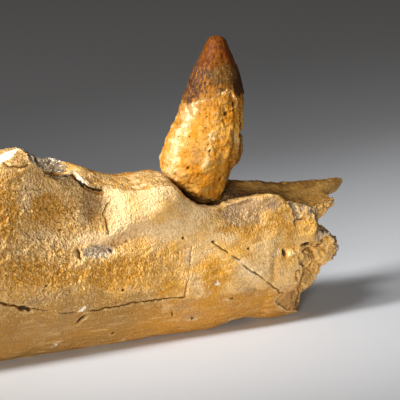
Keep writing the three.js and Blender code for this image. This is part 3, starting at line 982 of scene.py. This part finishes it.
# Colours of the fossil, in linear light.
OCHRE = (0.92, 0.48, 0.09)
TAN = (0.90, 0.56, 0.22)
CREAMY = (1.0, 0.69, 0.35)
BUFF = (1.0, 0.70, 0.30)
GOLDEN = (0.68, 0.30, 0.022)
RUSTY = (0.46, 0.18, 0.010)
BANDED = (0.62, 0.29, 0.055)
BROWNED = (0.38, 0.20, 0.05)
VIOLET_GREY = (0.43, 0.285, 0.17)
GRITTY = (0.165, 0.13, 0.09)
SOCKET_BROWN = (0.34, 0.15, 0.025)
BREAK_TAN = (0.74, 0.42, 0.12)
BREAK_BROWN = (0.36, 0.195, 0.06)
INNER_GOLD = (0.54, 0.255, 0.038)
INNER_BROWN = (0.25, 0.112, 0.022)
STONE_GREY = (0.22, 0.17, 0.12)
SCAR_BROWN = (0.54, 0.28, 0.09)
PINKISH = (0.80, 0.60, 0.40)
DARK = (0.02, 0.012, 0.007)
CHALK = (1.0, 0.88, 0.70)


def bone_finish():
    finish, start = new_finish("fossil bone")
    cloud = noise(start, 22, stretch=(0.7, 1, 1))
    mottle = noise(start, 6, 5, 0.62, (0.7, 1, 1))
    speck = noise(start, 1.6, 4, 0.65)
    dust = noise(start, 0.8, 2, 0.6)
    fibre = noise(start, 1.1, 3, 0.6, (0.1, 1, 1))
    blotch = noise(start, 10, 4, 0.6, (0.8, 1, 1))
    cells = cell_noise(start, 0.95)
    freckle = mottle * 0.5 + speck * 0.5
    names = ("grain", "band", "grit", "broken", "hollow", "inner", "scar")
    grain, band, grit, broken, hollow, inner, scar = (mark(start, name) for name in names)
    streaks = 0.3 + 0.35 * band
    pitted = ragged("pitted", speck, 1.1, 0.35, 0.65)
    grey = ragged("grey", speck, 1.5, 0.35, 0.7)
    wobble = mark(start, "crack_side") + (speck - 0.5) * 1.2
    line = 1 - wobble.math("ABSOLUTE", wobble).above(0.04, 0.3)
    crack = line * (mark(start, "crack_near") + (dust - 0.5) * 0.8).above(0.1, 0.9)

    colour = layered(OCHRE, [
        (TAN, cloud.above(0.35, 0.65)),
        (BANDED, ragged("band", mottle, 0.5)),
        (VIOLET_GREY, mottle.above(0.52, 0.68) * 0.25),
        (GOLDEN, blotch.above(0.5, 0.6) * 0.4),
        (CREAMY, (1 - blotch.above(0.37, 0.47)) * 0.4),
        # The stains, with a few patches of painted shade among the brown and violet ones.
        (BROWNED, ragged("brown", freckle, 1.6, 0.2, 1.1) * 0.85),
        (GOLDEN, ragged("rust", freckle, 2.2, 0.2, 1.1) * 0.95),
        (CREAMY, ragged("cream", mottle * 0.55 + speck * 0.45, 2.0, 0.3, 1.1) * 0.9),
        (VIOLET_GREY, ragged("violet", mottle * 0.4 + speck * 0.6, 2.2, 0.2, 1.0) * 0.75),
        # The skin's own grains, streaks and specks, and then painted shade in the hollows and painted
        # highlight on the rises.
        (RUSTY, grain * cells.above(0.4, 0.9) * (0.25 + 0.75 * mottle.above(0.35, 0.6)) * 0.6),
        (BUFF, grain * (1 - cells.above(0.15, 0.5)) * speck.above(0.4, 0.6) * 0.7),
        (BUFF, fibre.above(0.54, 0.72) * streaks * 0.6),
        (RUSTY, (1 - fibre.above(0.28, 0.46)) * streaks * 0.7),
        (RUSTY, speck.above(0.54, 0.68) * (0.2 + 0.3 * grain)),
        (BUFF, (1 - speck.above(0.32, 0.45)) * (0.4 - 0.25 * band)),
        (RUSTY, dust.above(0.55, 0.7) * (0.2 + 0.2 * grain)),
        (CREAMY, (1 - dust.above(0.3, 0.45)) * (0.45 - 0.33 * band)),
        # Painted shade in the hollows and painted highlight on the rises.
        (RUSTY, hollow.above(0.05, 1.1) * 0.5),
        (BUFF, (hollow * -1).above(0.2, 1.1) * 0.5),
        # The inner walls and the breaks.
        (INNER_GOLD, inner * 0.75),
        (INNER_BROWN, inner * (blotch * 0.4 + mottle * 0.35 + speck * 0.25).above(0.46, 0.55) * 0.75),
        (BREAK_TAN, broken * 0.8),
        (BREAK_BROWN, broken * (mottle * 0.6 + speck * 0.4).above(0.48, 0.62) * 0.75),
        (PINKISH, ragged("pink", speck, 0.8, 0.35, 0.7) * 0.9),
        (SCAR_BROWN, ragged("scar", speck, 1.0, 0.35, 0.65) * 0.85),
        (BREAK_BROWN, scar * (mottle * 0.4 + speck * 0.6).above(0.5, 0.6) * 0.6),
        (PINKISH, pitted * 0.8),
        (STONE_GREY, pitted * (dust * 0.5 + speck * 0.5).above(0.5, 0.62) * 0.8),
        # The grit in the hollow and the socket. The socket's brown also lays painted shade near the tooth and
        # the tooth's painted shadow in the trough, and the gap's dark is painted shade where the bone meets
        # the tooth.
        (GRITTY, grit * (0.75 + 0.25 * speck.above(0.4, 0.6))),
        (SOCKET_BROWN, mark(start, "socket") * 0.8),
        (DARK, grit * (speck * 0.6 + dust * 0.4).above(0.52, 0.64) * 0.7),
        (CHALK, grit * (1 - (dust * 0.7 + speck * 0.3).above(0.3, 0.44)) * 0.75),
        # Painted shade where the bone meets the tooth.
        (DARK, ragged("gap", speck, 0.9, 0.45, 0.9) * 0.9),
        # Grey lines, chips, pits and cracks, painted shade in the front break's crevices, and a few lone dark
        # flecks.
        (STONE_GREY, grey * 0.75),
        (CHALK, grey * (1 - dust.above(0.34, 0.46)) * 0.8),
        (CHALK, ragged("chips", speck, 1.5, 0.35, 0.75)),
        (DARK, ragged("dark", speck, 0.9, 0.4, 0.8) * 0.9),
        (DARK, crack * 0.9),
        (DARK, (1 - cell_noise(start, 13).above(0.02, 0.036)) * 0.75),
    ])
    height = speck * (0.55 + 0.6 * grain + 0.65 * grit) + fibre * 0.4 + (1 - cells) * (0.1 + 0.6 * grain)
    height += dust * (0.45 + 0.3 * grain) - crack * 0.8
    bump = start.node("Bump", {"Height": height, "Distance": 1.1 * MM, "Strength": 1.0})
    gloss = 0.68 + 0.12 * speck + 0.15 * grit
    shade(start, Base_Color=colour, Roughness=gloss, Specular_IOR_Level=0.25, Normal=bump)
    return finish


ENAMEL_OCHRE = (0.25, 0.088, 0.004)
ENAMEL_LOW = (0.29, 0.115, 0.014)
ENAMEL_TIP = (0.13, 0.030, 0.002)
ENAMEL_PURPLE = (0.085, 0.034, 0.018)
ENAMEL_DARK = (0.035, 0.012, 0.006)
CRUST = (0.10, 0.046, 0.011)
ROOT_ORANGE = (0.48, 0.175, 0.007)
ROOT_GOLD = (0.54, 0.27, 0.045)
ROOT_CREAM = (0.62, 0.45, 0.21)
ROOT_TOP = (0.29, 0.115, 0.012)
ROOT_BROWN = (0.20, 0.075, 0.010)


def tooth_finish():
    finish, start = new_finish("fossil tooth")
    mottle = noise(start, 5, 5, 0.62)
    speck = noise(start, 1.4, 4, 0.65)
    dust = noise(start, 0.7, 2)
    streak = noise(start, 0.9, 3, 0.6, (1, 1, 0.06))
    cells = cell_noise(start, 1.4)
    freckle = mottle * 0.35 + speck * 0.65
    names = ("crown", "cream", "hollow", "socketed", "tip", "crust")
    crown, cream, hollow, socketed, tip, crust = (mark(start, name) for name in names)

    root = layered(ROOT_ORANGE, [
        (ROOT_GOLD, mottle.above(0.4, 0.62)),
        (ROOT_GOLD, cream.above(0.1, 0.6) * 0.6),
        (ROOT_CREAM, ragged("cream", freckle, 2.6, 0.35, 1.1)),
        (ROOT_BROWN, ragged("brown", speck, 1.5, 0.35, 0.8) * 0.7),
        (ROOT_TOP, mark(start, "root_top") * (0.65 + 0.35 * speck.above(0.45, 0.6))),
        (ROOT_ORANGE, speck.above(0.5, 0.66) * 0.6),
        (ROOT_BROWN, cells.above(0.6, 1.0) * 0.5),
        (ROOT_CREAM, dust.above(0.6, 0.72) * 0.4),
        (VIOLET_GREY, freckle.above(0.54, 0.62) * 0.35),
        (CREAMY, cream.above(0.2, 0.9) * noise(start, 2.4).above(0.53, 0.64) * 0.85),
        # Painted shade in the hollows and painted highlight on the rises.
        (ROOT_BROWN, hollow.above(0.05, 1.0) * 0.75),
        (ROOT_CREAM, (hollow * -1).above(0.3, 1.2) * 0.35),
        (DARK, ragged("holes", speck, 0.7, 0.4, 0.8) * 0.75),
        (STONE_GREY, (1 - cell_noise(start, 6).above(0.04, 0.08)) * 0.8),
        # The root's foot down in the socket: painted shade, with flecks of brown grit.
        (DARK, socketed * 0.8),
        (SOCKET_BROWN, socketed * speck.above(0.5, 0.62) * 0.8),
    ])
    enamel = layered(ENAMEL_OCHRE, [
        (ENAMEL_DARK, streak.above(0.36, 0.62)),
        (ENAMEL_LOW, ragged("crown_low", streak, 1.5, 0.35, 0.95) * 0.75),
        (ENAMEL_PURPLE, ragged("left_flank", streak * 0.6 + speck * 0.4, 2.4, 0.3, 0.9) * 0.85),
        (ENAMEL_DARK, (streak * 0.6 + mottle * 0.4).above(0.47, 0.56) * (1 - tip) * 0.75),
        (ENAMEL_LOW, (1 - (streak * 0.5 + speck * 0.5).above(0.38, 0.47)) * (1 - tip) * 0.8),
        # Painted shade on the crown's side away from the light.
        (ENAMEL_DARK, ragged("right_flank", streak, 1.2, 0.3, 0.8) * 0.85),
        (ROOT_GOLD, (1 - dust.above(0.3, 0.42)) * 0.25),
        (ENAMEL_TIP, tip * (0.6 + 0.4 * streak.above(0.4, 0.6))),
        (ENAMEL_DARK, tip * (streak * 0.7 + mottle * 0.3).above(0.48, 0.6) * 0.5),
        (CRUST, ragged("crust", speck, 1.4, 0.45, 0.8) * 0.8),
        (ROOT_GOLD, crust * dust.above(0.58, 0.7) * 0.5),
    ])
    colour = layered(root, [(enamel, crown)])
    height = (1 - crown) * (speck * 0.9 + (1 - cells) * 0.6 + dust * 0.2)
    height += crown * (streak * 0.45 + speck * 0.3)
    bump = start.node("Bump", {"Height": height, "Distance": 0.5 * MM, "Strength": 0.9})
    gloss = 0.58 + 0.15 * speck - crown * 0.12
    shade(start, Base_Color=colour, Roughness=gloss, Specular_IOR_Level=0.10, Normal=bump)
    return finish


def table_finish():
    finish, start = new_finish("pale table")
    shade(start, Base_Color=(0.67, 0.683, 0.71, 1), Roughness=0.8)
    return finish


# ---- the pieces

bone = sculpt_bone()
add_piece("jaw_bone_sculpt", bone, "jaw_bone", bone_finish(), bone_marks(bone))
tooth = sculpt_tooth()
add_piece("tooth_sculpt", tooth, "tooth", tooth_finish(), tooth_marks(tooth))


# ---- table and lights

TABLE_HALF = 4


def add_table():
    sheet = bmesh.new()
    bmesh.ops.create_grid(sheet, x_segments=1, y_segments=1, size=TABLE_HALF)
    mesh = bpy.data.meshes.new("table")
    sheet.to_mesh(mesh)
    sheet.free()
    mesh.materials.append(table_finish())
    added("table", mesh)


def add_light(name, aim, heading, rise, distance, cone, width, power, colour):
    """A soft spotlight. Its heading is the way its rays travel, in degrees from +X towards +Y, and aim is the
    place on the table that its middle ray meets, in the fossil's own millimetres."""
    travel = ray(math.radians(heading), -math.radians(rise))
    data = bpy.data.lights.new(name, "SPOT")
    data.spot_size = math.radians(cone)
    data.spot_blend = 1.0
    data.shadow_soft_size = width / 2
    data.energy = power
    data.color = colour
    light = added(name, data)
    light.location = Vector((*((SOCKET[:2] + aim) * MM), 0)) - travel * distance
    light.rotation_euler = travel.to_track_quat("-Z", "Y").to_euler()


def light_room(colour, strength):
    world = bpy.data.worlds.new("room")
    world.use_nodes = True
    background = world.node_tree.nodes["Background"]
    background.inputs["Color"].default_value = (*colour, 1)
    background.inputs["Strength"].default_value = strength
    bpy.context.scene.world = world


add_table()
add_light("side light", (145, 31), 8.5, 27, 0.711, 43.7, 0.09, 19.5, (0.975, 0.975, 0.965))
add_light("upper light", (381, 145), 20, 38, 0.857, 65.9, 0.14, 6.7, (0.97, 0.985, 1))
add_light("front light", (0, -40), 50, 10, 2.3, 90, 0.6, 149, (1, 0.985, 0.96))
light_room((1, 0.94, 0.88), 0.075)
bpy.context.scene.view_settings.view_transform = "Standard"
